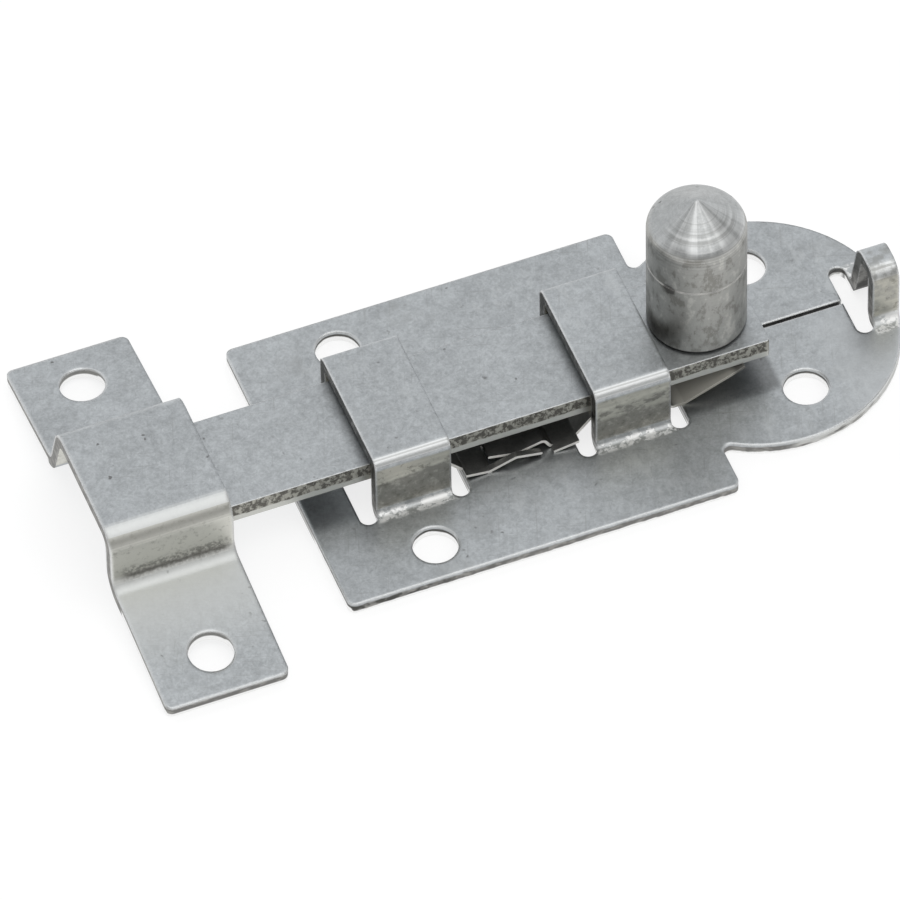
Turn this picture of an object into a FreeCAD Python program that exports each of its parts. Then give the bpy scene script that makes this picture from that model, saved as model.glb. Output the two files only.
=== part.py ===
import FreeCAD, Part
import math
import os

# Flat slide bolt with its keeper, in millimetres.
# The door face is the plane z = 0, and the bolt slides along X over the plate's centreline, y = 0.
# The origin is the middle of the left pair of screw holes, on the plate's back.

# Stock
sheet = 1.7                 # plate and keeper sheet
screw_hole_d = 5.8
blank_corner_r = 1.0        # outside corners of the plate and the keeper

# Bolt bar
bolt_width = 14.3
bolt_thickness = 2.9
bolt_corner_r = 0.4
bolt_end_margin = 0.7       # bar left over to the right of the knob

# Knob
knob_d = 12.6
knob_side_height = 17.0     # straight side, up to the rounded shoulder
knob_shoulder_r = 2.2
knob_cone_slope = 35.0      # degrees above the level
knob_tip_r = 0.8
knob_ring_height = 11.6     # scribed ring, above the bar
knob_ring_depth = 0.15
knob_foot_chamfer = 0.35
rivet_d = 7.0
rivet_head_d = 9.0
rivet_head_height = 1.0
rivet_fit = 0.05

# Passage under the straps
passage_height = 9.6        # from the door face to the underside of a strap
bolt_headroom = 0.9
bolt_side_gap = 0.75

# Straps raised from the plate
strap_width = 10.0
strap_spacing = 29.3        # from the left strap to the right one
strap_bend_r = 1.4
strap_bend_inside_r = 0.3
strap_foot_r = 0.8          # hollow of the foot
slot_width = 2.3            # punched slot on each side of a strap
slot_overrun = 1.3          # how far a slot runs past the strap's leg

# Stop arch at the rounded end
stop_arch_width = 3.55
stop_arch_span = 7.8        # across its legs, at the plate
stop_arch_height = 9.0      # from the door face to its underside
stop_arch_back_lean = 2.2   # how far the top of its back leg leans in
stop_arch_bend_r = 2.25
stop_arch_foot_r = 1.1      # hollow of the foot
arch_slot_extra = 0.9       # the slot beside it runs this much further at the back
seam_width = 0.6
seam_offset = 0.6           # from the plate's centreline, towards the back

# Plate outline
plate_width = 44.0
plate_left_reach = 13.3     # from the left screw holes to the left edge
plate_body_length = 52.0
dome_r = 18.2
dome_centre_x = 49.6
notch_r = 1.0
left_screw_spacing = 33.8
right_screw_spacing = 21.0
right_screw_x = 52.1

# Keeper
keeper_width = 16.2
keeper_length = 57.6
keeper_screw_spacing = 45.6
keeper_bend_r = 3.0
keeper_bend_inside_r = 1.3
keeper_foot_r = 2.0
keeper_headroom = 2.2
keeper_flange_rise = 2.4    # root of a flange, over its tip
keeper_back_lean = 3.0      # how far the foot of the back leg stands out from its top
keeper_side_gap = 0.85
keeper_distance = 10.5      # from the plate's left edge
keeper_engagement = 12.0    # how far the thrown bar reaches into the keeper

# Running clearances
thrown_gap = 1.0            # from the right strap to the knob, with the bolt thrown as photographed
stop_gap = 0.3              # between a moving piece and its stop, at the ends of its travel
spring_gap = 0.3            # between the spring's crests and the bar

# Friction spring
leaf = 0.4
spring_bend_r = 0.7
spring_side_gap = 0.4       # from the leaf to the straps' legs, and as much beside the tail
spring_pad_width = 17.4     # between the straps
spring_web_width = 9.2      # between the pads
pad_length = 3.4
pad_rise = 0.5              # outer end of a pad, over its inner end
crest_length = 3.0
crest_run = 2.6             # slope from a pad up to a crest, measured along the plate
left_tip_drop = 1.6         # left tip, below its crest
tail_drop_run = 7.5
tail_flat = 1.5             # where the tail rests on the plate
tail_length = 9.5
finger_gap = 0.2            # between a finger and its neighbours
outer_finger_width = 0.8
outer_finger_rise = 1.2     # highest point of the outer finger, over its root
outer_finger_tip_rise = 0.5
outer_finger_end_gap = 1.7  # from the outer finger's free end to the right pads
inner_finger_end_gap = 0.1  # from the inner finger's free end to the left pads
inner_finger_rise = 1.5     # both ends of the inner finger, over its root
inner_finger_dip_rise = 0.65
inner_finger_climb = 0.9    # length of the steep step at its root

# Places that follow from the sizes above
plate_left = -plate_left_reach
body_right = plate_left + plate_body_length
half_plate = plate_width / 2
passage_half = bolt_width / 2 + bolt_side_gap
strap_half = strap_width / 2
right_strap_edge = strap_spacing + strap_half
dome_right = dome_centre_x + dome_r
arch_right = dome_centre_x + math.sqrt(dome_r ** 2 - (stop_arch_span / 2) ** 2)
arch_left = arch_right - stop_arch_width
bolt_top = passage_height - bolt_headroom
bolt_bottom = bolt_top - bolt_thickness
knob_x = right_strap_edge + thrown_gap + knob_d / 2
bolt_right = knob_x + knob_d / 2 + bolt_end_margin
keeper_right = plate_left - keeper_distance
bolt_left = keeper_right - keeper_engagement
travel_in = thrown_gap - stop_gap
travel_out = arch_left - bolt_right - stop_gap
spring_half = passage_half - spring_side_gap
crest_z = bolt_bottom - spring_gap - leaf / 2
floor_z = sheet + leaf / 2
cutter_margin = 2 * sheet   # how far a cutter stands out of the sheet
steep = math.cos(math.radians(15))  # an edge this much in line with an axis counts as along it


def box(x0, x1, y0, y1, z0, z1):
    return Part.makeBox(x1 - x0, y1 - y0, z1 - z0, FreeCAD.Vector(x0, y0, z0))


def sheet_cutter(x0, x1, y0, y1):
    return box(x0, x1, y0, y1, -cutter_margin, sheet + cutter_margin)


def round_cutter(x, y, diameter):
    corner = FreeCAD.Vector(x, y, -cutter_margin)
    return Part.makeCylinder(diameter / 2, sheet + 2 * cutter_margin, corner)


def near(a, b):
    return abs(a - b) < 1e-4


def fillet_where(solid, radius, axis, wanted):
    """Round the straight edges within a few degrees of an axis ("x" or "z") that pass the test."""
    picked = []
    for edge in solid.Edges:
        if not isinstance(edge.Curve, Part.Line):
            continue
        along = abs(getattr(edge.Curve.Direction, axis))
        middle = edge.CenterOfMass
        if along > steep and wanted(middle):
            picked.append(edge)
    return solid.makeFillet(radius, picked)


def at_corner(corner):
    return lambda p: near(p.y, corner[0]) and near(p.z, corner[1])


def upper_side(route):
    """The route's points moved out square to the sheet, by its thickness."""
    normals = []
    for start, end in zip(route, route[1:]):
        length = math.hypot(end[0] - start[0], end[1] - start[1])
        normals.append(((start[1] - end[1]) / length, (end[0] - start[0]) / length))
    moved = []
    for point, before, after in zip(route, normals[:1] + normals, normals + normals[-1:]):
        share = sheet / (1 + before[0] * after[0] + before[1] * after[1])
        moved.append((point[0] + share * (before[0] + after[0]), point[1] + share * (before[1] + after[1])))
    return moved


def folded_strip(x0, x1, route, bend_r, bend_inside_r, foot_r):
    """Strip folded along six (y, z) points of its lower side: flange, leg, top, leg, flange."""
    tops = upper_side(route)
    corners = [FreeCAD.Vector(x0, y, z) for y, z in route + tops[::-1]]
    strip = Part.Face(Part.makePolygon(corners + corners[:1])).extrude(FreeCAD.Vector(x1 - x0, 0, 0))
    for corner in (2, 3):
        strip = fillet_where(strip, bend_r, "x", at_corner(tops[corner]))
        strip = fillet_where(strip, bend_inside_r, "x", at_corner(route[corner]))
    for corner in (1, 4):
        strip = fillet_where(strip, foot_r, "x", at_corner(tops[corner]))
        strip = fillet_where(strip, foot_r + sheet, "x", at_corner(route[corner]))
    return strip


def raised_route(inner, height, back_lean=0):
    """Lower side of a strap raised from the plate, with its legs this far from the middle."""
    reach = inner + sheet + slot_overrun
    return [(-reach, 0), (-inner, 0), (-inner, height), (inner - back_lean, height), (inner, 0), (reach, 0)]


def strap(centre):
    route = raised_route(passage_half, passage_height)
    ends = (centre - strap_half, centre + strap_half)
    return folded_strip(*ends, route, strap_bend_r, strap_bend_inside_r, strap_foot_r)


def stop_arch():
    """The bar runs against this arch. The plate's round edge trims its outer end."""
    route = raised_route(stop_arch_span / 2 - sheet, stop_arch_height, stop_arch_back_lean)
    inside_r = stop_arch_bend_r - sheet
    strip = folded_strip(arch_left, arch_right, route, stop_arch_bend_r, inside_r, stop_arch_foot_r)
    outline = Part.makeCylinder(dome_r, stop_arch_height + 2 * sheet, FreeCAD.Vector(dome_centre_x, 0, 0))
    return strip.common(outline)


def slot(x0, x1, y0, y1):
    """Slot across the bolt's path with round ends."""
    width = x1 - x0
    ends = (y0 + width / 2, y1 - width / 2)
    cutter = sheet_cutter(x0, x1, *ends)
    for y in ends:
        cutter = cutter.fuse(round_cutter((x0 + x1) / 2, y, width))
    return cutter


def plate_blank():
    body = box(plate_left, body_right, -half_plate, half_plate, 0, sheet)
    dome = Part.makeCylinder(dome_r, sheet, FreeCAD.Vector(dome_centre_x, 0, 0))
    blank = body.fuse(dome).removeSplitter()
    blank = fillet_where(blank, blank_corner_r, "z", lambda p: near(abs(p.y), half_plate))
    return fillet_where(blank, notch_r, "z", lambda p: near(p.x, body_right) and abs(p.y) < dome_r)


def strap_opening(centre):
    """What the die takes out under a strap and in the slots beside it."""
    reach = passage_half + sheet + slot_overrun
    left = centre - strap_half
    right = centre + strap_half
    under = sheet_cutter(left, right, -reach, reach)
    left_slot = slot(left - slot_width, left, -reach, reach)
    return under.fuse([left_slot, slot(right, right + slot_width, -reach, reach)])


def arch_opening():
    """The slot beside the stop arch and the gap under it, which is open at the plate's edge."""
    reach = stop_arch_span / 2 + slot_overrun
    under = sheet_cutter(arch_left, dome_right + cutter_margin, -reach, reach)
    return under.fuse(slot(arch_left - slot_width, arch_left, -reach, reach + arch_slot_extra))


def seam_cutter():
    """The plate is cut here so that raising the straps can draw its two sides in."""
    ends = (plate_left - cutter_margin, arch_left - slot_width / 2)
    return sheet_cutter(*ends, seam_offset - seam_width / 2, seam_offset + seam_width / 2)


def back_plate():
    plate = plate_blank()
    raised = [stop_arch()]
    for centre in (0, strap_spacing):
        plate = plate.cut(strap_opening(centre))
        raised.append(strap(centre))
    plate = plate.cut([arch_opening(), seam_cutter()])
    for x, spacing in ((0, left_screw_spacing), (right_screw_x, right_screw_spacing)):
        for y in (-spacing / 2, spacing / 2):
            plate = plate.cut(round_cutter(x, y, screw_hole_d))
    return plate.fuse(raised).removeSplitter()


def keeper():
    """The keeper as it leaves the press: its flanges droop, and the screws draw them flat."""
    x0 = keeper_right - keeper_width
    inner = bolt_width / 2 + keeper_side_gap
    reach = keeper_length / 2
    underside = bolt_top + keeper_headroom
    route = [(-reach, 0), (-inner, keeper_flange_rise), (-inner, underside),
             (inner, underside), (inner + keeper_back_lean, keeper_flange_rise), (reach, 0)]
    strip = folded_strip(x0, keeper_right, route, keeper_bend_r, keeper_bend_inside_r, keeper_foot_r)
    strip = fillet_where(strip, blank_corner_r, "z", lambda p: abs(p.y) > reach - sheet)
    for y in (-keeper_screw_spacing / 2, keeper_screw_spacing / 2):
        strip = strip.cut(round_cutter((x0 + keeper_right) / 2, y, screw_hole_d))
    return strip


def bolt_bar():
    bar = box(bolt_left, bolt_right, -bolt_width / 2, bolt_width / 2, bolt_bottom, bolt_top)
    bar = fillet_where(bar, bolt_corner_r, "z", lambda p: True)
    foot = FreeCAD.Vector(knob_x, 0, bolt_bottom)
    shank_hole = Part.makeCylinder(rivet_d / 2 + rivet_fit, bolt_thickness, foot)
    head_seat = Part.makeCone(rivet_head_d / 2 + rivet_fit, rivet_d / 2 + rivet_fit, rivet_head_height, foot)
    return bar.cut([shank_hole, head_seat])


def arc(centre, radius, start, end):
    """Arc in the XZ plane between two angles, in degrees from +X."""
    points = []
    for angle in (start, (start + end) / 2, end):
        turn = math.radians(angle)
        x = centre[0] + radius * math.cos(turn)
        z = centre[1] + radius * math.sin(turn)
        points.append(FreeCAD.Vector(x, 0, z))
    return Part.Arc(*points).toShape()


def knob():
    """Turned knob with a scribed ring and a cone top; its shank is riveted flush under the bar."""
    radius = knob_d / 2
    slope = math.radians(knob_cone_slope)
    shoulder = (radius - knob_shoulder_r, bolt_top + knob_side_height)
    shoulder_arc = arc(shoulder, knob_shoulder_r, 0, 90 - knob_cone_slope)
    cone_foot_r = shoulder[0] + knob_shoulder_r * math.sin(slope)
    cone_foot_z = shoulder[1] + knob_shoulder_r * math.cos(slope)
    tip_edge_z = cone_foot_z + (cone_foot_r - knob_tip_r * math.sin(slope)) * math.tan(slope)
    tip_arc = arc((0, tip_edge_z - knob_tip_r * math.cos(slope)), knob_tip_r, 90 - knob_cone_slope, 90)
    ring_z = bolt_top + knob_ring_height
    side = [(0, bolt_bottom), (rivet_head_d / 2, bolt_bottom), (rivet_d / 2, bolt_bottom + rivet_head_height),
            (rivet_d / 2, bolt_top), (radius - knob_foot_chamfer, bolt_top),
            (radius, bolt_top + knob_foot_chamfer), (radius, ring_z - knob_ring_depth),
            (radius - knob_ring_depth, ring_z), (radius, ring_z + knob_ring_depth), (radius, shoulder[1])]
    corners = [FreeCAD.Vector(x, 0, z) for x, z in side]
    apex = tip_arc.Vertexes[-1].Point
    cone = Part.makeLine(shoulder_arc.Vertexes[-1].Point, tip_arc.Vertexes[0].Point)
    axis_line = Part.makeLine(apex, corners[0])
    edges = Part.makePolygon(corners).Edges + [shoulder_arc, cone, tip_arc, axis_line]
    profile = Part.Face(Part.Wire(Part.__sortEdges__(edges)))
    turned = profile.revolve(FreeCAD.Vector(0, 0, 0), FreeCAD.Vector(0, 0, 1), 360)
    turned.translate(FreeCAD.Vector(knob_x, 0, 0))
    return turned


def bent_strip(route, bend_r, y0, y1):
    """Leaf that follows a route of (x, z) points with rounded bends, from y0 to y1."""
    points = [FreeCAD.Vector(x, 0, z) for x, z in route]
    edges = []
    start = points[0]
    for before, corner, after in zip(points, points[1:], points[2:]):
        back = (before - corner).normalize()
        ahead = (after - corner).normalize()
        half_angle = back.getAngle(ahead) / 2
        set_back = bend_r / math.tan(half_angle)
        first = corner + back * set_back
        last = corner + ahead * set_back
        inward = (back + ahead).normalize()
        middle = corner + inward * (bend_r / math.sin(half_angle) - bend_r)
        edges.append(Part.makeLine(start, first))
        edges.append(Part.Arc(first, middle, last).toShape())
        start = last
    edges.append(Part.makeLine(start, points[-1]))
    outline = Part.Wire(edges).makeOffset2D(leaf / 2)
    strip = Part.Face(outline).extrude(FreeCAD.Vector(0, y1 - y0, 0))
    strip.translate(FreeCAD.Vector(0, y0, 0))
    return strip


def friction_spring():
    """Leaf between the plate and the bar, held lengthwise between the two straps."""
    left_pad = strap_half + slot_width
    left_inner = left_pad + pad_length
    right_pad = strap_spacing - strap_half - slot_width + leaf
    right_inner = right_pad - pad_length
    left_crest = left_pad - crest_run
    right_crest = right_pad + crest_run
    tail_foot = right_crest + crest_length + tail_drop_run
    tail_tip = tail_foot + tail_length
    pad_z = floor_z + pad_rise
    tip = left_crest - 2 * crest_length
    left_part = [(tip, crest_z - left_tip_drop), (left_crest - crest_length, crest_z), (left_crest, crest_z),
                 (left_pad, pad_z), (left_inner, floor_z)]
    right_part = [(right_inner, floor_z), (right_pad, pad_z), (right_crest, crest_z),
                  (right_crest + crest_length, crest_z)]
    tail = [(tail_foot, floor_z), (tail_foot + tail_flat, floor_z), (tail_tip, crest_z)]
    pad_half = spring_pad_width / 2
    web_half = spring_web_width / 2
    whole = bent_strip(left_part + right_part + tail, spring_bend_r, -pad_half, pad_half)
    trims = ((tip - leaf, left_pad, spring_half), (left_inner, right_inner, web_half),
             (right_pad, tail_tip + leaf, spring_half))
    for x0, x1, half_width in trims:
        for side in (-1, 1):
            y0, y1 = sorted((side * half_width, side * spring_pad_width))
            whole = whole.cut(box(x0, x1, y0, y1, 0, passage_height))
    outer_tip = right_inner - outer_finger_end_gap
    inner_tip = left_inner + inner_finger_end_gap
    outer_route = [(left_inner - leaf, floor_z), ((left_inner + outer_tip) / 2, floor_z + outer_finger_rise),
                   (outer_tip, floor_z + outer_finger_tip_rise)]
    step_top = right_inner - inner_finger_climb
    inner_route = [(right_inner + 2 * leaf, floor_z), (right_inner, floor_z),
                   (step_top, floor_z + inner_finger_rise),
                   ((step_top + inner_tip) / 2, floor_z + inner_finger_dip_rise),
                   (inner_tip, floor_z + inner_finger_rise)]
    fingers = []
    outer_near = pad_half - outer_finger_width
    for side in (-1, 1):
        outer_band = sorted((side * outer_near, side * pad_half))
        inner_band = sorted((side * (web_half + finger_gap), side * (outer_near - finger_gap)))
        fingers.append(bent_strip(outer_route, spring_bend_r, *outer_band))
        fingers.append(bent_strip(inner_route, spring_bend_r, *inner_band))
    return whole.fuse(fingers).removeSplitter()


def report(name, shape):
    size = shape.BoundBox
    print(name, "solids", len(shape.Solids), "valid", shape.isValid(), "volume", round(shape.Volume, 1),
          "x", round(size.XMin, 2), round(size.XMax, 2), "y", round(size.YMin, 2), round(size.YMax, 2),
          "z", round(size.ZMin, 2), round(size.ZMax, 2))


os.makedirs("parts", exist_ok=True)
nodes = {"back_plate": back_plate(), "keeper": keeper(), "bolt_bar": bolt_bar(), "knob": knob(),
         "friction_spring": friction_spring()}
for node_name, node_shape in nodes.items():
    node_shape.exportStep("parts/%s.step" % node_name)
    report(node_name, node_shape)
print("travel", round(-travel_in, 3), "to", round(travel_out, 3))
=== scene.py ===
# %% [markdown]
# # A flat slide bolt in Blender
# The five steel pieces of this bolt come ready made: they were drawn at their real size elsewhere and
# are loaded here as a fixed frame. They could be modelled again in Blender, but two sets of shapes
# would drift apart. So this lesson is about the looks only: the camera, the light, and one finish for
# each piece. All lengths are in metres.

import math

import bpy
from mathutils import Matrix, Vector


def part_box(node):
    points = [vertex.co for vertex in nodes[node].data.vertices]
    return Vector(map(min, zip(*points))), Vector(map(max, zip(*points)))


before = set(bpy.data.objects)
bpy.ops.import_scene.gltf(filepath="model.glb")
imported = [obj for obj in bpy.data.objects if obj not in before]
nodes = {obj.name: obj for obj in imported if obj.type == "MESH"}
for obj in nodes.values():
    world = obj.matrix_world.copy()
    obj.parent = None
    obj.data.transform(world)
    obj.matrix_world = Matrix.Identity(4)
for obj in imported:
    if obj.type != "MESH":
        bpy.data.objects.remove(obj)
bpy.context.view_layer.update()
MM = 0.001
for name, piece in nodes.items():
    low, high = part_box(name)
    size = (high - low) / MM
    print(f"{name}: {size.x:.1f} x {size.y:.1f} x {size.z:.1f} mm, {len(piece.data.polygons)} faces")

# %% [markdown]
# ## The camera
# The photograph was taken from far away through a long lens, so lines that are parallel on the bolt
# stay nearly parallel in the picture. The camera looks from the front, a little from the left, and
# from above at about 51 degrees. It is turned slightly about its own axis, as the photographer held it.
# A camera can be aimed by hand in the viewport. Here its angles were fitted to points read off the
# photograph, and three directions built from them place it the same way on each run.

# %% Place the camera
azimuth = math.radians(-20.32)
elevation = math.radians(50.83)
roll = math.radians(-1.2)
distance = 1.7475
target = Vector((8.26, -0.48, -2.16)) * MM

back = Vector((math.sin(azimuth) * math.cos(elevation), -math.cos(azimuth) * math.cos(elevation),
               math.sin(elevation)))
level = Vector((math.cos(azimuth), math.sin(azimuth), 0))
upright = back.cross(level)
right = level * math.cos(roll) + upright * math.sin(roll)
up = upright * math.cos(roll) - level * math.sin(roll)
place = target + back * distance

camera_data = bpy.data.cameras.new("camera")
camera_data.lens = 560
camera_data.sensor_width = 36
camera_data.clip_end = 20
camera = bpy.data.objects.new("camera", camera_data)
camera.matrix_world = Matrix((right, up, back)).transposed().to_4x4()
camera.location = place
bpy.context.scene.collection.objects.link(camera)
bpy.context.scene.camera = camera
bpy.context.scene.view_settings.view_transform = "Standard"
print("camera at", [round(value, 3) for value in place])

# %% [markdown]
# ## Helpers for shader nodes
# A procedural finish is a small network of nodes. It can be wired by hand in the shader editor, but a
# script can be read from top to bottom and changed in one place. A few helpers keep the cells below
# short: one adds a node and sets its inputs, others do a sum, a smooth step, a mix and a noise.


# %% Add a node and set its inputs
def connect(tree, socket, value):
    """A socket is linked, a colour of three numbers gets its alpha, and any other value is set."""
    if isinstance(value, bpy.types.NodeSocket):
        tree.links.new(value, socket)
    elif isinstance(value, tuple) and socket.type == "RGBA":
        socket.default_value = (*value, 1)
    else:
        socket.default_value = value


def add(tree, kind, **inputs):
    """Add a node. Each input is named, with _ for a space, and gets a value or a socket."""
    node = tree.nodes.new(kind)
    for name, value in inputs.items():
        connect(tree, node.inputs[name.replace("_", " ")], value)
    return node


print("nodes can be added")


# %% Arithmetic on values and vectors
def sum_of(tree, operation, *values, clamp=False):
    """One step of arithmetic on sockets or numbers."""
    node = tree.nodes.new("ShaderNodeMath")
    node.operation = operation
    node.use_clamp = clamp
    for socket, value in zip(node.inputs, values):
        connect(tree, socket, value)
    return node.outputs[0]


def vector_sum(tree, operation, *values):
    """One step of arithmetic on vectors. A distance, a length or a dot product is a single value."""
    node = tree.nodes.new("ShaderNodeVectorMath")
    node.operation = operation
    for socket, value in zip(node.inputs, values):
        connect(tree, socket, value)
    single = operation in ("DISTANCE", "LENGTH", "DOT_PRODUCT")
    return node.outputs["Value" if single else "Vector"]


def ramp(tree, value, start, end, low=0.0, high=1.0):
    """Turn a value that runs from start to end into one that runs smoothly from low to high."""
    node = tree.nodes.new("ShaderNodeMapRange")
    node.interpolation_type = "SMOOTHSTEP"
    for name, number in (("Value", value), ("From Min", start), ("From Max", end), ("To Min", low),
                         ("To Max", high)):
        connect(tree, node.inputs[name], number)
    return node.outputs[0]


print("sums and smooth steps ready")


# %% Mixes, scaled vectors and noise
def mix(tree, amount, first, second, kind="RGBA", blend="MIX"):
    """Blend two colours or two vectors. The Mix node keeps other sockets for each kind of data."""
    node = tree.nodes.new("ShaderNodeMix")
    node.data_type = kind
    node.blend_type = blend
    into, out = {"RGBA": ((0, 6, 7), 2), "VECTOR": ((0, 4, 5), 1)}[kind]
    for index, value in zip(into, (amount, first, second)):
        connect(tree, node.inputs[index], value)
    return node.outputs[out]


def scaled(tree, vector, x, y, z, shift=(0, 0, 0)):
    """A Mapping node: the vector times three scales, then shifted."""
    return add(tree, "ShaderNodeMapping", Vector=vector, Scale=(x, y, z), Location=shift).outputs[0]


def in_millimetres(tree, vector):
    return scaled(tree, vector, 1 / MM, 1 / MM, 1 / MM)


def noise(tree, vector, scale, detail=2.0, roughness=0.5):
    return add(tree, "ShaderNodeTexNoise", Vector=vector, Scale=scale, Detail=detail,
               Roughness=roughness).outputs[0]


print("mixes and noise ready")

# %% [markdown]
# ## Helpers for node groups
# An effect that several finishes share is built once, as a node group with named inputs and outputs.
# Each material then places the group with its own values. The same nodes could be copied into each
# material, but then every change would have to be made five times.


# %% Make and place a node group
def new_group(name, inputs, outputs):
    """Start a node group. Inputs are (name, type, value), outputs are (name, type)."""
    group = bpy.data.node_groups.new(name, "ShaderNodeTree")
    for socket_name, kind, value in inputs:
        socket = group.interface.new_socket(socket_name, in_out="INPUT", socket_type=kind)
        if value is not None:
            socket.default_value = value
    for socket_name, kind in outputs:
        group.interface.new_socket(socket_name, in_out="OUTPUT", socket_type=kind)
    return group, group.nodes.new("NodeGroupInput").outputs, group.nodes.new("NodeGroupOutput").inputs


def use_group(tree, group, **inputs):
    """Place a group in a material, with named inputs as for add."""
    node = tree.nodes.new("ShaderNodeGroup")
    node.node_tree = group
    for name, value in inputs.items():
        connect(tree, node.inputs[name.replace("_", " ")], value)
    return node.outputs


FLOAT, VECTOR = "NodeSocketFloat", "NodeSocketVector"
print("helpers for groups ready")

# %% [markdown]
# ## Tumbled steel
# The pieces seem to have been tumbled with stones after pressing, which leaves a fine, even grain, soft
# clouds of lighter and darker grey, and small dark pits. A picture of steel could be laid over them, but
# it needs unwrapping and blurs from close by, while noise stays sharp at any distance. The finest grain
# is bent by another noise, so that it looks worm-eaten rather than sandy. The pits are the middles of
# Voronoi cells, kept only where a second noise is high, so they gather here and there.

# %% Group: tumbled skin
skin, given, result = new_group(
    "tumbled skin",
    [("Vector", VECTOR, None), ("Grain", FLOAT, 1.0), ("Clouds", FLOAT, 1.0), ("Pits", FLOAT, 1.0)],
    [("Shade", FLOAT), ("Height", FLOAT), ("Pit mask", FLOAT)])
straight = in_millimetres(skin, given["Vector"])
wander = add(skin, "ShaderNodeTexNoise", Vector=straight, Scale=1.3, Detail=1.0).outputs["Color"]
bent = vector_sum(skin, "ADD", straight, wander)

cloud = ramp(skin, noise(skin, straight, 0.13, 3.0), 0.3, 0.7, -1.0, 1.0)
mottle = noise(skin, straight, 0.8, 4.0, 0.62)
grain = noise(skin, bent, 2.6, 5.0, 0.68)
worms = sum_of(skin, "ABSOLUTE", sum_of(skin, "SUBTRACT", noise(skin, bent, 1.5, 2.0), 0.5))
worms = ramp(skin, worms, 0.035, 0.0)

spots = add(skin, "ShaderNodeTexVoronoi", Vector=bent, Scale=0.62).outputs["Distance"]
crowded = ramp(skin, noise(skin, straight, 0.35, 1.0), 0.55, 0.66)
pits = sum_of(skin, "MULTIPLY", ramp(skin, spots, 0.20, 0.06), crowded)
pits = sum_of(skin, "MULTIPLY", pits, given["Pits"], clamp=True)

fine = sum_of(skin, "ADD", ramp(skin, grain, 0.28, 0.72, -0.13, 0.13),
              ramp(skin, mottle, 0.25, 0.75, -0.11, 0.11))
fine = sum_of(skin, "MULTIPLY", sum_of(skin, "MULTIPLY_ADD", worms, -0.05, fine), given["Grain"])
coarse = sum_of(skin, "MULTIPLY", sum_of(skin, "MULTIPLY", cloud, 0.05), given["Clouds"])
skin.links.new(sum_of(skin, "ADD", sum_of(skin, "ADD", 1.0, fine), coarse), result["Shade"])
relief = sum_of(skin, "SUBTRACT", sum_of(skin, "ADD", grain, mottle), pits)
skin.links.new(relief, result["Height"])
skin.links.new(pits, result["Pit mask"])
print("group:", skin.name, "with", len(skin.nodes), "nodes")

# %% [markdown]
# ## Rolled edges
# A press rolls the upper edge of a sheet over as the punch goes in, and tumbling rounds it further. The
# rounded edge catches the light as a bright line. Real roundings would add many faces for a line half a
# millimetre wide, so a Bevel node bends only the shading. Where the bent direction differs from the
# straight one there is an edge: that difference is the mask for the bright edge colour, which is partly
# wear and partly a painted highlight. Lower edges stay sharp and dull, so both the bend and the mask
# leave out every place where the bent direction points down. The mask also leaves out the edges that
# face right, because they show no bright line in the photograph.

# %% Group: rolled edges
ROLLED = 0.55 * MM
edges, given, result = new_group(
    "rolled edges", [("Radius", FLOAT, ROLLED)], [("Normal", VECTOR), ("Edge", FLOAT)])
bevel = add(edges, "ShaderNodeBevel", Radius=given["Radius"])
bevel.samples = 6
bent = bevel.outputs[0]
bent_x, bent_y, bent_z = add(edges, "ShaderNodeSeparateXYZ", Vector=bent).outputs
straight = edges.nodes.new("ShaderNodeNewGeometry").outputs["Normal"]
upper = ramp(edges, bent_z, -0.25, 0.0)
edges.links.new(mix(edges, upper, straight, bent, "VECTOR"), result["Normal"])

to_right = sum_of(edges, "MULTIPLY", ramp(edges, bent_x, 0.05, 0.25), ramp(edges, bent_y, -0.25, -0.05))
lit = sum_of(edges, "MULTIPLY", upper, sum_of(edges, "SUBTRACT", 1.0, to_right))
turned_away = ramp(edges, vector_sum(edges, "DOT_PRODUCT", bent, straight), 0.985, 0.88)
edges.links.new(sum_of(edges, "MULTIPLY", turned_away, lit), result["Edge"])
print("group:", edges.name)

# %% [markdown]
# ## Fine scratches
# Rubbing against other pieces leaves hairlines. They could be drawn one by one on a painted picture.
# Noise that is stretched about fortyfold along one direction and cut to its highest values gives as
# many as needed, several millimetres long, and turning the vector first gives them any direction.

# %% Group: hairlines
hairlines, given, result = new_group(
    "hairlines", [("Vector", VECTOR, None), ("Turn", FLOAT, 0.0)], [("Mask", FLOAT)])
along, across = 110, 4600
turned = add(hairlines, "ShaderNodeVectorRotate", Vector=given["Vector"], Angle=given["Turn"])
lines = noise(hairlines, scaled(hairlines, turned.outputs[0], along, across, across), 1.0, 1.0)
hairlines.links.new(ramp(hairlines, lines, 0.66, 0.76), result["Mask"])
print("group:", hairlines.name)

# %% [markdown]
# ## A finish for each piece
# All five finishes share the same start: the object's own coordinates, the tumbled skin, rolled edges
# and hairlines, joined in one metallic Principled shader. Each piece then adds its own marks. Five
# separate networks would repeat most of their nodes, so a small class holds the colour, the roughness
# and the height, and lays each new mark over them. A mark's mask is made from the place in millimetres,
# the direction in which the face looks and noise, so nothing has to be unwrapped or painted.


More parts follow.
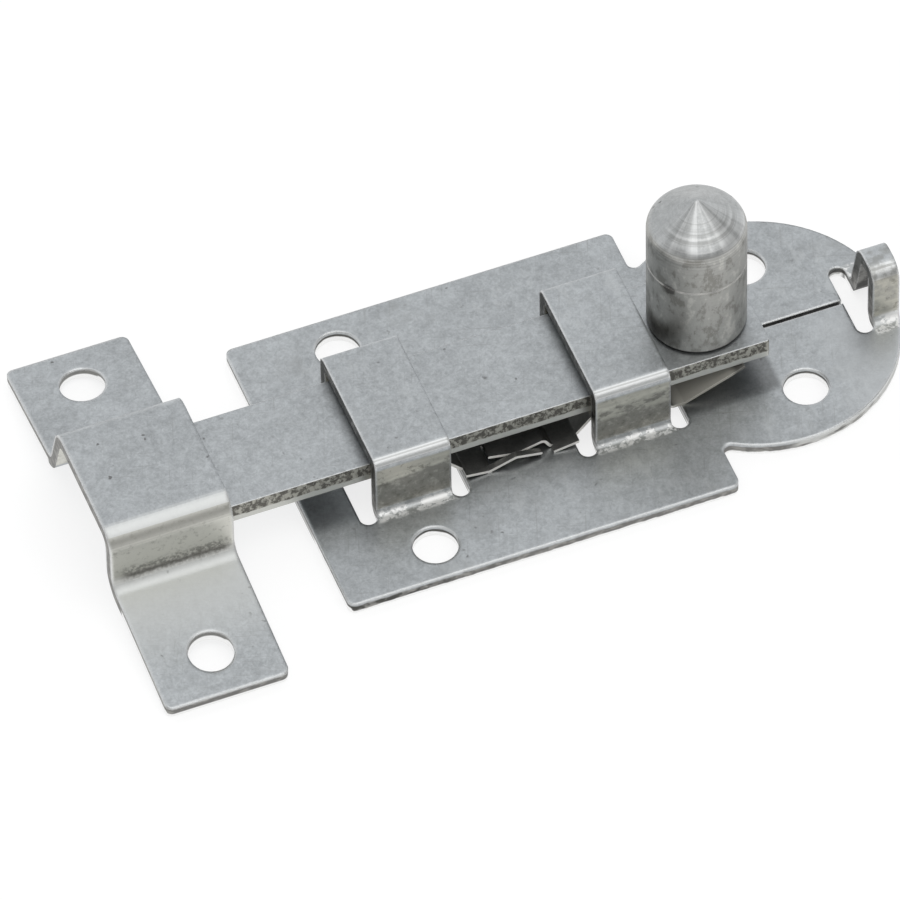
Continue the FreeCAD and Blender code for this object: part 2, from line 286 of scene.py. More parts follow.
# %% Start of a steel finish
class Steel:
    """A metallic material under construction: a colour, a roughness and a height to add marks to."""

    def __init__(self, name, colour, roughness, edge_radius=ROLLED, grain=1.0, clouds=1.0, pits=1.0):
        self.material = bpy.data.materials.new(name)
        self.material.use_nodes = True
        self.tree = self.material.node_tree
        self.shader = self.tree.nodes["Principled BSDF"]
        self.shader.inputs["Metallic"].default_value = 1.0
        self.vector = self.tree.nodes.new("ShaderNodeTexCoord").outputs["Object"]
        self.x, self.y, self.z = self.parts(in_millimetres(self.tree, self.vector))
        normal = self.tree.nodes.new("ShaderNodeNewGeometry").outputs["True Normal"]
        self.face_x, self.face_y, self.face_z = self.parts(normal)
        self.skin = use_group(self.tree, skin, Vector=self.vector, Grain=grain, Clouds=clouds, Pits=pits)
        self.edges = use_group(self.tree, edges, Radius=edge_radius)
        shade = self.skin["Shade"]
        grey = add(self.tree, "ShaderNodeCombineXYZ", X=shade, Y=shade, Z=shade).outputs[0]
        self.colour = mix(self.tree, 1.0, colour, grey, blend="MULTIPLY")
        self.roughness = sum_of(self.tree, "MULTIPLY_ADD", self.skin["Pit mask"], 0.3, roughness)
        self.height = self.skin["Height"]
        self.mark(self.skin["Pit mask"], (0.13, 0.125, 0.12), 0.6)
        for turn in (0.3, 1.9):
            scratch = use_group(self.tree, hairlines, Vector=self.vector, Turn=turn)["Mask"]
            self.mark(scratch, (0.27, 0.27, 0.265), 0.3)

    def parts(self, vector):
        return add(self.tree, "ShaderNodeSeparateXYZ", Vector=vector).outputs

    def sum(self, operation, *values, clamp=False):
        return sum_of(self.tree, operation, *values, clamp=clamp)

    def all_of(self, *masks):
        """Where every mask is high."""
        joined = masks[0]
        for mask in masks[1:]:
            joined = self.sum("MULTIPLY", joined, mask)
        return joined

    def ramp(self, *values):
        return ramp(self.tree, *values)

    def size(self, value):
        """The value without its sign: a distance from the middle, or how far a face looks sideways."""
        return self.sum("ABSOLUTE", value)

    def between(self, value, low, high, soft=0.3):
        """High from low to high, with soft ends."""
        return self.all_of(self.ramp(value, low - soft, low + soft),
                           self.ramp(value, high + soft, high - soft))

    def from_point(self, x, y):
        """Distance in plan from a point and from its mirror image across the middle line."""
        plan = add(self.tree, "ShaderNodeCombineXYZ", X=self.x, Y=self.size(self.y)).outputs[0]
        return vector_sum(self.tree, "DISTANCE", plan, (x, y, 0))

    def noise(self, scale, detail=2.0, stretch=(1, 1, 1), roughness=0.5):
        """Noise whose grains are 1 / scale millimetres across, longer where stretch is below 1."""
        vector = scaled(self.tree, self.vector, *(share / MM for share in stretch))
        return noise(self.tree, vector, scale, detail, roughness)

    def mark(self, mask, colour, strength=1.0):
        """Paint a colour where the mask is high."""
        amount = self.sum("MULTIPLY", mask, strength, clamp=True)
        self.colour = mix(self.tree, amount, self.colour, colour)

    def rougher(self, mask, amount):
        """Add to the roughness where the mask is high. A negative amount makes it smoother."""
        self.roughness = self.sum("MULTIPLY_ADD", mask, amount, self.roughness, clamp=True)

    def raised(self, mask, amount):
        self.height = self.sum("MULTIPLY_ADD", mask, amount, self.height)

    def finish(self, bump=0.008 * MM, edge_light=0.75):
        """Paint the bright edges, partly wear and partly a painted highlight, over all marks and connect
        the shader.
        """
        # The bright edge colour is partly wear and partly a painted highlight.
        self.mark(self.edges["Edge"], (0.84, 0.85, 0.85), edge_light)
        self.rougher(self.edges["Edge"], -0.1)
        surface = add(self.tree, "ShaderNodeBump", Strength=1.0, Distance=bump, Height=self.height,
                      Normal=self.edges["Normal"])
        self.tree.links.new(self.colour, self.shader.inputs["Base Color"])
        self.tree.links.new(self.roughness, self.shader.inputs["Roughness"])
        self.tree.links.new(surface.outputs[0], self.shader.inputs["Normal"])
        return self.material


def dress(name, material):
    """Give a loaded piece its finish."""
    for slot in nodes[name].material_slots:
        slot.material = material
    print(name, "wears", material.name, "with", len(material.node_tree.nodes), "nodes")


print("steel finish ready")

# %% [markdown]
# ## Cut walls
# The plate and the keeper are punched from sheet of the same thickness. A punched wall is dark, rough
# and patchy below its rolled edge, and its foot is burnished, where the punch rubbed it: there it
# mirrors the white paper and nearly vanishes against it. The walls could have a material of their own,
# but then their faces would have to be picked out, and each would look the same from top to bottom. A
# mask can follow the height in the wall.


# %% Dark walls and bright feet
DARK_CUT = (0.17, 0.165, 0.155)


def dark_cuts(steel, cut, colour=DARK_CUT):
    """Punched and sheared walls: dark, with lighter patches."""
    steel.mark(cut, colour, 0.9)
    patches = steel.ramp(steel.noise(1.3, 5.0, (0.6, 0.6, 1)), 0.46, 0.62)
    steel.mark(steel.all_of(cut, patches), (0.36, 0.355, 0.335), 0.7)
    steel.rougher(cut, 0.1)


def burnished(steel, walls, height, top):
    """The foot of a cut wall, up to a given height, is smooth and mirrors the paper."""
    foot = steel.all_of(walls, steel.ramp(steel.sum("SUBTRACT", height, top), 0.12, -0.12))
    steel.mark(foot, (0.95, 0.95, 0.945), 0.95)
    steel.rougher(foot, -0.25)


print("cut walls ready")

# %% [markdown]
# ## The plate
# The plate carries everything: a flat sheet with two straps over the bar and a small stop arch at its
# round end. Its flats are bluish grey, with wide light scuffs and a few darker smudges, and the front
# of the round end is lighter. Such marks could be painted by hand, but noise that is stretched and cut
# by a second noise already gathers them in places, as wear does.

# %% Places on the plate, in millimetres, and its flats
sheet = 1.7
roll = 0.45
hole_radius = 2.9
screw_holes = ((0.0, 16.9), (52.1, 10.5))
strap_centres = (0.0, 29.3)
strap_outside = 9.6
FLAT_STEEL = (0.455, 0.475, 0.487)

plate = Steel("plate_steel", FLAT_STEEL, roughness=0.38)
wide_scuffs = plate.all_of(plate.ramp(plate.noise(0.5, 4.0, (1.0, 0.35, 1), 0.7), 0.52, 0.64),
                           plate.ramp(plate.noise(0.09, 1.0), 0.42, 0.6))
plate.mark(wide_scuffs, (0.58, 0.60, 0.605), 0.4)
smudges = plate.ramp(plate.noise(0.16, 4.0, roughness=0.6), 0.56, 0.72)
plate.mark(smudges, (0.36, 0.37, 0.37), 0.4)
light_end = plate.all_of(plate.ramp(plate.x, 53.0, 61.0), plate.ramp(plate.y, 2.0, -3.0))
plate.mark(light_end, (0.64, 0.66, 0.67), 0.5)
print("flats: scuffs, smudges and a light end")

# %% [markdown]
# ## Cut walls of the plate
# The walls of the outline, the slots and the screw holes are all cut, but they don't look the same. The
# holes are nearly black below their rolled edge, the left end is spotted, and light lines run along the
# round end. The wall of the long seam and of the opening under the arch is black, because little light
# gets in. Each has a mask of its own, made from where it is and how high it lies in the sheet.

# %% Walls of the outline and the holes
NEAR_BLACK = (0.05, 0.05, 0.045)

upright_face = plate.ramp(plate.size(plate.face_z), 0.5, 0.15)
in_sheet = plate.ramp(plate.z, sheet + 0.1, sheet - 0.1)
walls = plate.all_of(upright_face, in_sheet)
uneven = plate.noise(0.7, 3.0)
ragged_height = plate.sum("MULTIPLY_ADD", uneven, 0.4, plate.sum("SUBTRACT", plate.z, 0.2))
below_roll = plate.ramp(ragged_height, sheet - roll + 0.15, sheet - roll - 0.15)
dark_cuts(plate, plate.all_of(upright_face, below_roll))

near_hole = 0.0
for x, y in screw_holes:
    around = plate.ramp(plate.from_point(x, y), hole_radius + 0.8, hole_radius + 0.3)
    near_hole = plate.sum("MAXIMUM", near_hole, around)
plate.mark(plate.all_of(walls, near_hole, plate.ramp(plate.z, sheet - 0.35, sheet - 0.5)), NEAR_BLACK, 0.7)

left_end = plate.all_of(walls, plate.ramp(plate.x, 12.0, -8.0),
                        plate.ramp(ragged_height, sheet - 0.4, sheet - 0.6))
spotted = plate.ramp(plate.noise(0.75, 4.0), 0.46, 0.54)
plate.mark(plate.all_of(left_end, spotted), NEAR_BLACK, 0.8)

round_end = plate.all_of(walls, plate.ramp(plate.x, 46.0, 49.0), plate.sum("SUBTRACT", 1.0, near_hole))
rim_lines = plate.ramp(plate.noise(0.8, 4.0, (0.5, 0.5, 2.5)), 0.40, 0.52)
plate.mark(plate.all_of(round_end, rim_lines), (0.66, 0.665, 0.65), 0.75)
print("walls: dark", len(screw_holes) * 2, "holes, a spotted left end, lines along the round end")

# %% Burnished feet, the seam and the arch's opening
foot_height, extra_height = 0.4, 0.45
facing_left = plate.ramp(plate.face_x, -0.5, -0.8)
higher = plate.sum("MAXIMUM", near_hole, facing_left)
burnished(plate, walls, ragged_height, plate.sum("MULTIPLY_ADD", higher, extra_height, foot_height))

from_middle = plate.size(plate.y)
seam = plate.all_of(plate.between(plate.x, 47.0, 62.5), plate.between(plate.y, 0.1, 1.1, 0.1))
arch_opening = plate.all_of(plate.ramp(plate.x, 60.8, 61.2), plate.ramp(from_middle, 6.8, 6.4),
                            plate.ramp(ragged_height, 0.7, 0.9))
unlit = plate.all_of(walls, plate.sum("MAXIMUM", seam, arch_opening))
plate.mark(unlit, (0.035, 0.035, 0.033), 0.85)
print("feet", foot_height, "mm high, and at holes and left walls", extra_height, "mm more")

# %% [markdown]
# ## Straps of the plate
# The straps were cut along both sides and pushed up. Their cut sides are dark, and their left sides
# carry painted shade in patches. Their legs are duller and warmer than the flats, with drag lines from
# the die;
# their lower part is painted darker as shade, and the upper part of the right leg gets a painted
# reflection in lighter patches. Their front bends get a painted highlight, with a painted grey line
# along its middle.
# A plain colour for each part would end in straight lines, so noise makes the heights where they end
# ragged.

# %% Sides of the straps
raised_side = plate.all_of(plate.ramp(plate.size(plate.face_x), 0.8, 0.95),
                           plate.ramp(plate.z, sheet - 0.1, sheet + 0.1))
dark_cuts(plate, raised_side, (0.13, 0.125, 0.115))
# Painted shade: the left sides of the straps are darker in patches.
left_side = plate.all_of(plate.ramp(plate.face_x, -0.8, -0.95),
                         plate.ramp(plate.z, sheet + 0.3, sheet + 0.6))
painted_shade_patches = plate.ramp(plate.noise(0.9, 4.0), 0.36, 0.5)
plate.mark(plate.all_of(left_side, painted_shade_patches), (0.045, 0.045, 0.04), 0.75)
print("sides of", len(strap_centres), "straps darkened")

# %% Legs of the straps
slant = 0.09
boundary_heights = (7.6, 8.4)
boundary = 0.0
for centre, height in zip(strap_centres, boundary_heights):
    here = plate.between(plate.x, centre - 6, centre + 6, 0.5)
    slanted = plate.sum("MULTIPLY_ADD", plate.x, slant, height - slant * centre)
    boundary = plate.sum("MULTIPLY_ADD", here, slanted, boundary)

steep = plate.ramp(plate.size(plate.face_y), 0.80, 0.92)
legs = plate.all_of(steep, plate.between(plate.z, 2.6, 9.9, 0.2))
ragged = plate.sum("MULTIPLY_ADD", plate.noise(0.6, 4.0), 0.8, plate.sum("SUBTRACT", plate.z, 0.4))
over_boundary = plate.sum("SUBTRACT", ragged, boundary)
drag = plate.noise(1.0, 3.0, (0.12, 1, 1.6))
mottled = plate.noise(1.1, 5.0, roughness=0.65)
plate.mark(legs, (0.45, 0.44, 0.39))
plate.mark(plate.all_of(legs, plate.ramp(drag, 0.45, 0.7)), (0.56, 0.55, 0.48), 0.45)
# Painted shade: the lower part of each leg is darker.
lower = plate.all_of(legs, plate.ramp(over_boundary, 0.35, -0.35))
less_on_arch = plate.ramp(plate.x, 62, 60, 0.3, 1.0)
plate.mark(plate.all_of(lower, less_on_arch), (0.25, 0.245, 0.22))
plate.mark(plate.all_of(lower, plate.ramp(mottled, 0.5, 0.7)), (0.50, 0.49, 0.44), 0.5)
plate.mark(plate.all_of(legs, plate.ramp(mottled, 0.47, 0.33)), (0.14, 0.135, 0.115), 0.6)
brim = plate.between(over_boundary, -0.05, 0.45, 0.25)
plate.mark(plate.all_of(legs, brim, plate.ramp(mottled, 0.35, 0.6)), (0.66, 0.65, 0.57), 0.5)

# Painted reflection: the upper part of the right strap's leg is lighter in patches.
right_leg = plate.all_of(steep, plate.between(plate.x, 23.0, 36.0),
                         plate.between(plate.z, 6.2, 9.6, 0.5))
painted = plate.ramp(plate.noise(0.9, 5.0, (0.6, 1, 1.2), 0.65), 0.40, 0.55)
plate.mark(plate.all_of(right_leg, painted), (0.60, 0.59, 0.52), 0.6)
print("legs darker below", boundary_heights, "mm")

# %% Front bends of the straps
front = plate.all_of(plate.ramp(plate.face_y, 0.0, -0.15), plate.ramp(plate.z, 8.1, 8.3))
# Painted highlight on the front bends, with a painted grey line along its middle.
turning = plate.all_of(front, plate.between(plate.face_z, 0.42, 0.96, 0.04))
plate.mark(turning, (0.70, 0.71, 0.705), 0.75)
plate.rougher(turning, -0.05)
painted_highlight_gap = plate.all_of(front, plate.between(plate.face_z, 0.85, 0.89, 0.02))
plate.mark(painted_highlight_gap, (0.36, 0.365, 0.36), 0.75)
print("front bends rubbed bright")

# %% [markdown]
# ## Shade under the bar, and the arch
# Under the bar the plate gets painted shade, darkest as a painted shadow under the bar's right end. The
# band is as wide as the straps reach, so its mask is a distance from the middle line. Inside, the stop
# arch is nearly black in the photograph, and its outside is clouded. A lamp alone can't give that black,
# because the white paper lights the arch from below, so the inside gets painted shade in the material.

# %% Painted shade under the bar, and the arch
painted_shade_under_bar = plate.all_of(plate.ramp(from_middle, strap_outside + 0.8, strap_outside - 1.2), in_sheet,
                     plate.between(plate.x, -14.0, 49.4, 0.5))
# Painted shade on the plate under the bar.
plate.mark(painted_shade_under_bar, (0.17, 0.17, 0.165), 0.7)
# Painted shadow under the bar's right end.
painted_shadow_bar_end = plate.all_of(painted_shade_under_bar, plate.ramp(plate.x, 36.0, 38.0), plate.ramp(from_middle, 9.9, 9.4))
plate.mark(painted_shadow_bar_end, (0.05, 0.05, 0.05), 0.7)

at_arch = plate.ramp(plate.x, 63.4, 63.9)
inside_arch = plate.all_of(at_arch, plate.ramp(plate.y, -2.4, -2.0),
                           plate.ramp(plate.face_y, -0.1, -0.4), plate.ramp(plate.z, 9.3, 8.9))
plate.mark(inside_arch, (0.02, 0.02, 0.018))
arch_clouds = plate.ramp(plate.noise(0.5, 5.0, roughness=0.65), 0.42, 0.6)
plate.mark(plate.all_of(at_arch, plate.ramp(plate.z, 2.6, 3.6), arch_clouds), (0.27, 0.27, 0.255), 0.6)
print("painted shade out to", strap_outside, "mm from the middle line")

# %% [markdown]
# ## Stretch marks
# Where each strap and the arch rise from the sheet, the metal was stretched until its skin tore: the
# marks are bright, coarse and raised. They could be sculpted, but the tears are finer than the mesh. One
# mask of noise, cut to its upper half, drives the colour, the roughness and the bump together.

# %% Stretch marks at the feet, and the plate's finish
under_straps = 0.0
for centre, to_left, to_right in zip(strap_centres, (5.2, 5.2), (5.2, 6.5)):
    here = plate.between(plate.x, centre - to_left, centre + to_right, 0.5)
    under_straps = plate.sum("ADD", under_straps, here)
beside_legs = plate.between(from_middle, strap_outside + 0.1, strap_outside + 1.5)
strap_foot = plate.all_of(under_straps, beside_legs)
arch_foot = plate.all_of(at_arch, plate.between(from_middle, 3.9, 6.0))
foot = plate.all_of(plate.sum("ADD", strap_foot, arch_foot), plate.ramp(plate.z, 3.2, 2.4),
                    plate.ramp(plate.z, sheet - 0.3, sheet - 0.1))
tears = plate.sum("ADD", plate.noise(2.3, 5.0, (0.8, 1, 1), 0.6), plate.noise(0.55, 2.0))
torn = plate.all_of(foot, plate.ramp(tears, 0.92, 1.10))
plate.mark(foot, (0.50, 0.51, 0.50), 0.5)
plate.mark(torn, (0.95, 0.95, 0.94), 0.9)
plate.rougher(torn, 0.15)
plate.raised(torn, 2.5)
dress("back_plate", plate.finish(edge_light=0.85))

# %% [markdown]
# ## The keeper
# The keeper takes the bar's end on the door frame. It is the same sheet, folded with wider bends, and
# its flanges droop as they leave the press. If the bright foot of its cut walls ended at one height, it
# would run off the wall. So the height is measured from the drooping sheet: the outward distance times
# the slope is added.

# %% Cut walls of the keeper
keeper = Steel("keeper_steel", FLAT_STEEL, roughness=0.40, edge_radius=0.75 * MM, pits=1.6)
keeper_low, keeper_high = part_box("keeper")
keeper_middle = (keeper_low.x + keeper_high.x) / 2 / MM
keeper_hole = 22.8
droop = 0.125

side_face = keeper.ramp(keeper.size(keeper.face_x), 0.8, 0.95)
outward = keeper.size(keeper.y)
flange_wall = keeper.all_of(keeper.ramp(keeper.size(keeper.face_z), 0.4, 0.2),
                            keeper.ramp(outward, 18.5, 19.0))
around_hole = keeper.ramp(keeper.from_point(keeper_middle, keeper_hole), hole_radius + 0.8,
                          hole_radius + 0.4)
hole_wall = keeper.all_of(flange_wall, around_hole)
cut_walls = keeper.sum("MAXIMUM", side_face, flange_wall)
dark_cuts(keeper, cut_walls)
keeper.mark(hole_wall, (0.24, 0.24, 0.23), 0.8)

over_flange = keeper.sum("MULTIPLY_ADD", outward, droop, keeper.z)
foot_top = keeper.sum("MULTIPLY_ADD", hole_wall, 0.3, droop * keeper_high.y / MM + 0.5)
facing_left = keeper.ramp(keeper.face_x, -0.8, -0.95)
foot_top = keeper.sum("MULTIPLY_ADD", facing_left, 0.35, foot_top)
burnished(keeper, keeper.all_of(cut_walls, keeper.ramp(outward, 12.5, 13.5)), over_flange, foot_top)
print("the flanges fall", droop, "mm for each mm outward")

# %% [markdown]
# ## Leg and bends of the keeper
# The front leg is a warm, even grey, with painted light where it is steepest, and the bend above it gets
# a painted highlight. The leg and the bends run into each other without an edge, so a height alone can't
# part them.
# The direction in which the face looks does: each part of a bend has its own.

# %% Leg and upper bend of the keeper
facing_front = keeper.all_of(keeper.ramp(keeper.face_y, -0.2, -0.4),
                             keeper.ramp(keeper.size(keeper.face_x), 0.5, 0.3))
leg = keeper.all_of(facing_front, keeper.ramp(keeper.face_z, 0.76, 0.70),
                    keeper.ramp(keeper.z, 4.4, 4.9))
mottled = keeper.noise(1.6, 5.0, roughness=0.7)
keeper.mark(leg, (0.50, 0.495, 0.455), 0.9)
# Painted light: the leg is lighter where it is steepest.
keeper.mark(keeper.all_of(leg, keeper.ramp(keeper.face_z, 0.42, 0.15)), (0.72, 0.715, 0.66), 0.9)
keeper.mark(keeper.all_of(leg, keeper.ramp(mottled, 0.48, 0.33)), (0.36, 0.355, 0.32), 0.5)
# Painted highlight on the upper bend.
bend = keeper.all_of(keeper.ramp(keeper.face_y, -0.05, -0.35), keeper.ramp(keeper.face_z, 0.70, 0.76),
                     keeper.ramp(keeper.z, 8.5, 9.0))
keeper.mark(bend, (0.66, 0.67, 0.66), 0.8)
keeper.rougher(bend, 0.05)
print("leg and upper bend of the keeper marked")

# %% [markdown]
# ## Hollow of the keeper
# A dark scuffed line from the press tool crosses the foot of the front leg, and the hollow below it gets
# painted light, palest where it is steepest. A line drawn at one height would look ruled. The height
# gets noise of its own, and a speckled haze around the line lets it fade unevenly.

# %% Hollow and tool line of the keeper
hollow = keeper.all_of(keeper.ramp(keeper.y, 8.0, -8.0), keeper.ramp(keeper.face_z, 0.25, 0.5),
                       keeper.ramp(keeper.z, 6.0, 5.5))
# Painted light in the hollow, palest where it is steepest.
keeper.mark(keeper.all_of(hollow, keeper.ramp(keeper.z, 2.0, 3.7)), (0.64, 0.65, 0.635), 0.8)
keeper.mark(keeper.all_of(hollow, keeper.ramp(keeper.face_z, 0.75, 0.5)), (0.78, 0.78, 0.75), 0.7)
keeper.rougher(keeper.all_of(hollow, keeper.ramp(keeper.z, 3.6, 4.2)), 0.16)

wavy = keeper.sum("MULTIPLY_ADD", keeper.noise(0.4, 4.0), 1.1, keeper.sum("SUBTRACT", keeper.z, 0.55))
speckle = keeper.ramp(keeper.noise(2.4, 5.0, roughness=0.7), 0.44, 0.56)
inside_ends = keeper.between(keeper.x, keeper_low.x / MM + 1.6, keeper_high.x / MM - 0.9, 0.8)
across_foot = keeper.all_of(keeper.ramp(outward, 6.5, 7.5), inside_ends,
                            keeper.ramp(keeper.face_z, 0.9, 0.7))
haze = keeper.all_of(across_foot, keeper.between(wavy, 4.6, 6.5, 0.5), speckle)
core = keeper.all_of(across_foot, keeper.between(wavy, 4.75, 5.35, 0.3))
keeper.mark(haze, (0.24, 0.235, 0.215), 0.7)
keeper.mark(core, (0.17, 0.165, 0.15), 0.75)
keeper.rougher(core, 0.15)
dress("keeper", keeper.finish(edge_light=0.85))

# %% [markdown]
# ## The bar
# The bar slides under the straps. It was sheared from strip, and a sheared edge has a light, smooth band
# where the blade pressed in and a dark, torn band where the metal broke: here the broken part is the
# upper two thirds. Two materials could show the bands, but their border would be straight. A height with
# noise in it gives a ragged one, and the same blotches that colour the broken band also dent it.

# %% Finish of the bar
bar_low, bar_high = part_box("bolt_bar")
bar_bottom = bar_low.z / MM
bar_thickness = (bar_high.z - bar_low.z) / MM
bar = Steel("bar_steel", FLAT_STEEL, roughness=0.38, edge_radius=0.25 * MM)
sheared = bar.ramp(bar.size(bar.face_z), 0.5, 0.3)
band = bar.sum("MULTIPLY_ADD", bar.noise(0.6, 3.0), 0.7, bar.sum("SUBTRACT", bar.z, bar_bottom + 0.35))
broken = bar.all_of(sheared, bar.ramp(band, 0.28 * bar_thickness, 0.36 * bar_thickness))
blotches = bar.all_of(broken, bar.ramp(bar.noise(1.25, 5.0, (1, 1, 0.8), 0.68), 0.43, 0.56))
bar.mark(sheared, (0.60, 0.60, 0.56), 0.9)
bar.mark(broken, (0.44, 0.43, 0.38), 0.8)
bar.mark(blotches, (0.085, 0.08, 0.07), 0.85)
bar.raised(blotches, -5.0)
bar.rougher(broken, 0.1)
dress("bolt_bar", bar.finish(edge_light=0.7))

# %% [markdown]
# ## The knob
# The knob was turned on a lathe, which leaves fine rings on its cone, on its rounded shoulder and on the
# upper part of its side. The front of the cone gets a painted highlight in broad streaks that run down
# from the tip. The rings could be modelled, but they are far finer than any edge of the knob. Noise on
# the radius and the height alone gives rings, and noise on the direction from the axis alone gives
# streaks.
# A Mapping node first moves the pattern to the knob's own axis.

# %% Rings and streaks around the knob's axis
knob_low, knob_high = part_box("knob")
knob_axis = (knob_low + knob_high) / 2
ring_over_bar = 11.6
knob = Steel("turned_steel", (0.43, 0.44, 0.44), roughness=0.36, edge_radius=0.25 * MM, grain=0.9,
             clouds=1.2)
centred = scaled(knob.tree, knob.vector, 1, 1, 1, (-knob_axis.x, -knob_axis.y, 0))
direction = vector_sum(knob.tree, "NORMALIZE", scaled(knob.tree, centred, 1, 1, 0))
streaks = noise(knob.tree, direction, 2.6, 3.0, 0.6)
radius = vector_sum(knob.tree, "LENGTH", scaled(knob.tree, centred, 1 / MM, 1 / MM, 0))
section = add(knob.tree, "ShaderNodeCombineXYZ", X=radius, Z=knob.z).outputs[0]
turning = noise(knob.tree, section, 3.2, 3.0)
print("knob's axis at x", round(knob_axis.x / MM, 2), "mm")

# %% [markdown]
# ## Marks of the knob
# The side is duller than the cone and patchy from wear, and its foot gets painted shade, black where it
# stands on the bar. A ring is scribed around it, with a small dark dent at the left. The frame has the
# ring as a groove, but it is only 0.15 mm deep, and light alone hardly shows it. So it gets a thin line
# of colour as well, lighter where it is worn.

# %% Cone, side and foot of the knob
ring = knob_low.z / MM + bar_thickness + ring_over_bar
cone = knob.ramp(knob.face_z, 0.3, 0.6)
side = knob.sum("SUBTRACT", 1.0, cone)
front = knob.ramp(knob.face_y, 0.1, -0.35)
smear = knob.noise(0.6, 6.0, (1, 1, 0.55), 0.65)
# Painted highlight: lighter streaks on the front of the cone.
knob.mark(knob.all_of(cone, front, knob.ramp(streaks, 0.40, 0.58)), (0.70, 0.71, 0.71), 0.7)
knob.mark(side, (0.40, 0.395, 0.37), 0.75)
knob.mark(knob.all_of(side, knob.ramp(smear, 0.5, 0.62)), (0.23, 0.225, 0.205), 0.75)
knob.mark(knob.all_of(side, knob.ramp(smear, 0.46, 0.34)), (0.60, 0.595, 0.56), 0.7)
ringed = knob.all_of(front, knob.ramp(knob.z, ring + 2.5, ring + 5.5), knob.ramp(radius, 1.5, 3.5))
knob.mark(knob.all_of(ringed, knob.ramp(turning, 0.5, 0.62)), (0.25, 0.25, 0.24), 0.4)
knob.mark(knob.all_of(ringed, knob.ramp(turning, 0.44, 0.34)), (0.80, 0.80, 0.79), 0.3)
bar_top = bar_high.z / MM
# Painted shade: a black band at the knob's foot, where it stands on the bar.
knob.mark(knob.ramp(knob.z, bar_top + 0.5, bar_top + 0.3), NEAR_BLACK, 0.9)
print("scribed ring at z", round(ring, 2), "mm")

# %% Scribed ring and dent of the knob
groove = knob.between(knob.z, ring - 0.2, ring + 0.2, 0.05)
worn = knob.ramp(knob.noise(0.45, 3.0), 0.36, 0.58)
knob.mark(groove, (0.30, 0.295, 0.28), 0.85)
knob.mark(knob.all_of(groove, worn), (0.62, 0.61, 0.58), 0.6)
dent = Vector((-5.1, -3.65, ring - 0.3))
from_dent = vector_sum(knob.tree, "DISTANCE", in_millimetres(knob.tree, centred), dent)
ragged = knob.sum("MULTIPLY_ADD", knob.noise(1.8, 3.0), 0.9, from_dent)
knob.mark(knob.ramp(ragged, 1.6, 1.0), (0.07, 0.065, 0.06), 0.85)
knob.rougher(side, 0.08)
knob.raised(turning, 0.9)
dress("knob", knob.finish(bump=0.005 * MM, edge_light=0.3))

# %% [markdown]
# ## The friction spring
# The spring is a thin leaf under the bar that keeps the bolt from sliding on its own. It is hardened
# strip; its dark colour is partly its heat treatment and partly painted shade from the bar above it. Its
# narrow cut edges get a painted highlight as pale lines. Its tail gets painted light as a dull beige,
# its highest places the same beige where the bar has rubbed them, and the tip of the tail painted shade.
# Full metal would mirror mostly the dark underside of the bar there, so a lower Metallic value lets the
# edges and the tail show a colour of their own.

# %% Finish of the spring
spring_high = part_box("friction_spring")[1]
# The dark colour is partly the strip's own tone and partly painted shade from the bar above.
spring = Steel("spring_steel", (0.22, 0.22, 0.21), roughness=0.42, edge_radius=0.08 * MM, clouds=0.5)
tail = spring.ramp(spring.x, 34.5, 36.5)
crest = spring.ramp(spring.z, spring_high.z / MM - 0.7, spring_high.z / MM - 0.3)
cut_edge = spring.all_of(spring.ramp(spring.size(spring.face_y), 0.5, 0.8), spring.ramp(tail, 1.0, 0.0))
# Painted light on the tail, and wear on the crest where the bar rubs: both a dull beige.
spring.mark(spring.sum("MAXIMUM", tail, crest), (0.50, 0.485, 0.43), 0.85)
# Painted shade: the tip of the tail is darker.
spring.mark(spring.ramp(spring.x, 43.2, 44.2), (0.10, 0.098, 0.09), 0.85)
# Painted highlight: the cut edges are pale.
spring.mark(cut_edge, (0.88, 0.87, 0.83))
matt = spring.sum("MAXIMUM", cut_edge, tail)
spring.tree.links.new(spring.ramp(matt, 0.0, 1.0, 1.0, 0.25), spring.shader.inputs["Metallic"])
dress("friction_spring", spring.finish(edge_light=0.25))

# %% [markdown]
# ## The floor
# The bolt lies on white paper without a horizon. A plain white plane turns grey where the light falls
# off, and a stronger lamp would burn out the steel. So the paper glows for the rays that come from the
# camera or from a mirroring face, and for every other ray it is plain paper. It keeps part of the
# shadow in this way, because only some of its white is glow.

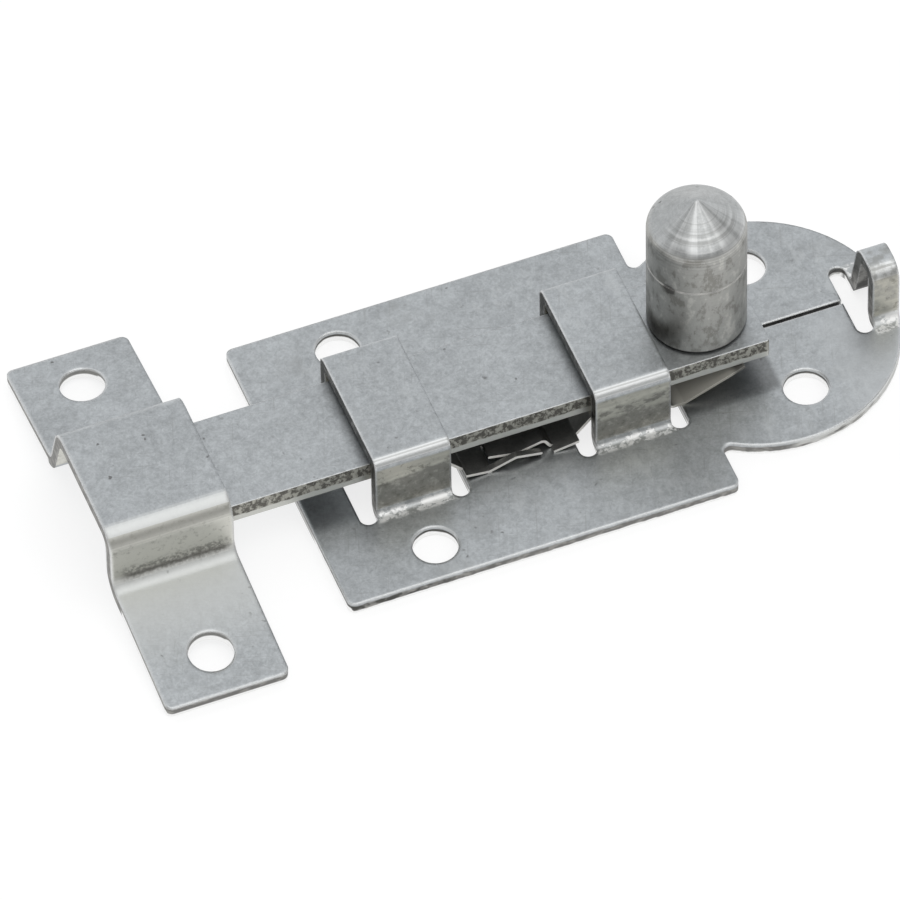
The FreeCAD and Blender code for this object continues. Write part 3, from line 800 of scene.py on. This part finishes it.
# %% Floor
bpy.ops.object.select_all(action="DESELECT")
bpy.ops.mesh.primitive_plane_add(size=8, location=(0, 0, -0.05 * MM))
floor = bpy.context.object
floor.name = "floor"
paper = bpy.data.materials.new("floor_paper")
paper.use_nodes = True
tree = paper.node_tree
rays = tree.nodes.new("ShaderNodeLightPath").outputs
seen = sum_of(tree, "ADD", sum_of(tree, "ADD", rays["Is Camera Ray"], rays["Is Glossy Ray"]),
              rays["Is Transmission Ray"], clamp=True)
surface = tree.nodes["Principled BSDF"]
surface.inputs["Roughness"].default_value = 0.9
surface.inputs["Specular IOR Level"].default_value = 0.0
shown = mix(tree, seen, (0.80, 0.80, 0.80), (0.30, 0.30, 0.30))
tree.links.new(shown, surface.inputs["Base Color"])
surface.inputs["Emission Color"].default_value = (1, 1, 1, 1)
tree.links.new(sum_of(tree, "MULTIPLY", seen, 0.76), surface.inputs["Emission Strength"])
floor.data.materials.append(paper)
print("floor at z =", round(floor.location.z / MM, 2), "mm")

# %% [markdown]
# ## The light
# Steel shows what surrounds it. Its flats mirror the sky behind the bolt, which is lighter there than
# over the camera, and the rounded bends mirror one large soft lamp that hangs over the front. A picture
# of a studio as the sky would bring reflections that the photograph doesn't have. A sky of two greys
# and one lamp are enough, and each can be set to what the photograph shows.

# %% Sky
world = bpy.data.worlds.new("studio")
bpy.context.scene.world = world
world.use_nodes = True
tree = world.node_tree
view = tree.nodes.new("ShaderNodeTexCoord").outputs["Generated"]
toward_back = add(tree, "ShaderNodeSeparateXYZ", Vector=view).outputs["Y"]
sky = mix(tree, ramp(tree, toward_back, -0.3, 0.5), (0.48, 0.48, 0.475), (0.88, 0.89, 0.90))
tree.links.new(sky, tree.nodes["Background"].inputs["Color"])
print("sky ready")


# %% Lamp
def softbox(name, lean, aside, reach, width, depth, brightness):
    """A rectangular lamp over the bolt, leaning to the front. Brightness is what a mirror would show."""
    lean = math.radians(lean)
    data = bpy.data.lights.new(name, "AREA")
    data.shape = "RECTANGLE"
    data.size = width
    data.size_y = depth
    data.energy = brightness * math.pi * width * depth
    lamp = bpy.data.objects.new(name, data)
    lamp.location = target + Vector((aside, -math.sin(lean), math.cos(lean))) * reach
    lamp.rotation_euler = (target - lamp.location).to_track_quat("-Z", "Y").to_euler()
    lamp.visible_camera = False
    bpy.context.scene.collection.objects.link(lamp)
    print(name, "power", round(data.energy, 2), "W")


softbox("top_lamp", lean=22, aside=0.05, reach=0.70, width=0.80, depth=0.80, brightness=1.0)
